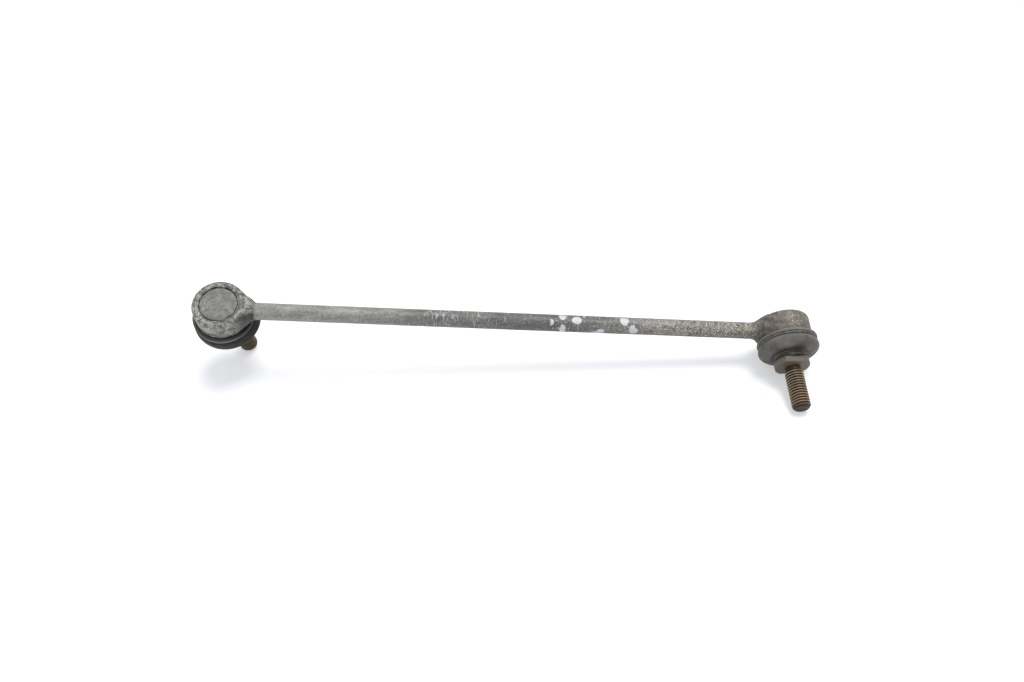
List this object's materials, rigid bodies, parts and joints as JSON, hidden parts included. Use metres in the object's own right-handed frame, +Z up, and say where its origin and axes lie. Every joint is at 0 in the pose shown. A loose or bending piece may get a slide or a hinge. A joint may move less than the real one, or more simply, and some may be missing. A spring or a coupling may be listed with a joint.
{
  "type": "stabilizer link",
  "caption": "Straight steel stabilizer link with a sealed ball joint at each end; the threaded ball studs point about square to each other and swing and turn in their housings.",
  "frame": {"origin": "middle of the part's outline on the table that it lies on", "axes": "+Z up from the table; +X along the rod seen from above, from the upright joint to the lying joint; +Y away from the lying joint's stud"},
  "size_m": [0.3399, 0.0683, 0.0553],
  "materials": {
    "coated_steel": "worn",
    "housing_steel": "worn",
    "cover_steel": "worn",
    "weld_steel": "rough",
    "stud_steel": "rusty",
    "spring_wire": "dull",
    "boot_rubber": "matte",
    "shell_plastic": "matte"
  },
  "bodies": {
    "link": {"rod": "coated_steel", "left_weld": "weld_steel", "left_housing": "housing_steel", "left_cover": "cover_steel", "left_upper_shell": "shell_plastic", "left_lower_shell": "shell_plastic", "left_band": "spring_wire", "right_weld": "weld_steel", "right_housing": "housing_steel", "right_cover": "cover_steel", "right_upper_shell": "shell_plastic", "right_lower_shell": "shell_plastic", "right_band": "spring_wire"},
    "left_boot": {"left_boot": "boot_rubber"},
    "left_ring": {"left_ring": "spring_wire"},
    "left_stud": {"left_ball_stud": "stud_steel"},
    "right_boot": {"right_boot": "boot_rubber"},
    "right_ring": {"right_ring": "spring_wire"},
    "right_stud": {"right_ball_stud": "stud_steel"}
  },
  "joints": [
    {"name": "left_swing_along", "type": "hinge", "parent": "link", "child": "left_boot", "pos_m": [-0.15299, 0.01301, 0.04028], "axis": [0.0294, 0.9322, 0.3606], "range_deg": [-8.6, 25.4], "deforming": ["left_boot"]},
    {"name": "left_swing_across", "type": "hinge", "parent": "left_boot", "child": "left_ring", "pos_m": [-0.15299, 0.01301, 0.04028], "axis": [0.9971, -0.0529, 0.0552], "range_deg": [-20.2, 13.8], "deforming": ["left_boot"]},
    {"name": "left_spin", "type": "hinge", "parent": "left_ring", "child": "left_stud", "pos_m": [-0.15299, 0.01301, 0.04028], "axis": [0.0721, 0.4094, -0.9095], "continuous": true},
    {"name": "right_swing_along", "type": "hinge", "parent": "link", "child": "right_boot", "pos_m": [0.15283, 0.00777, 0.0178], "axis": [0.0773, -0.3125, 0.9468], "range_deg": [-17, 17], "deforming": ["right_boot"]},
    {"name": "right_swing_across", "type": "hinge", "parent": "right_boot", "child": "right_ring", "pos_m": [0.15283, 0.00777, 0.0178], "axis": [-0.9964, -0.058, 0.0622], "range_deg": [-17, 17], "deforming": ["right_boot"]},
    {"name": "right_spin", "type": "hinge", "parent": "right_ring", "child": "right_stud", "pos_m": [0.15283, 0.00777, 0.0178], "axis": [0.0355, -0.9481, -0.3159], "continuous": true}
  ]
}
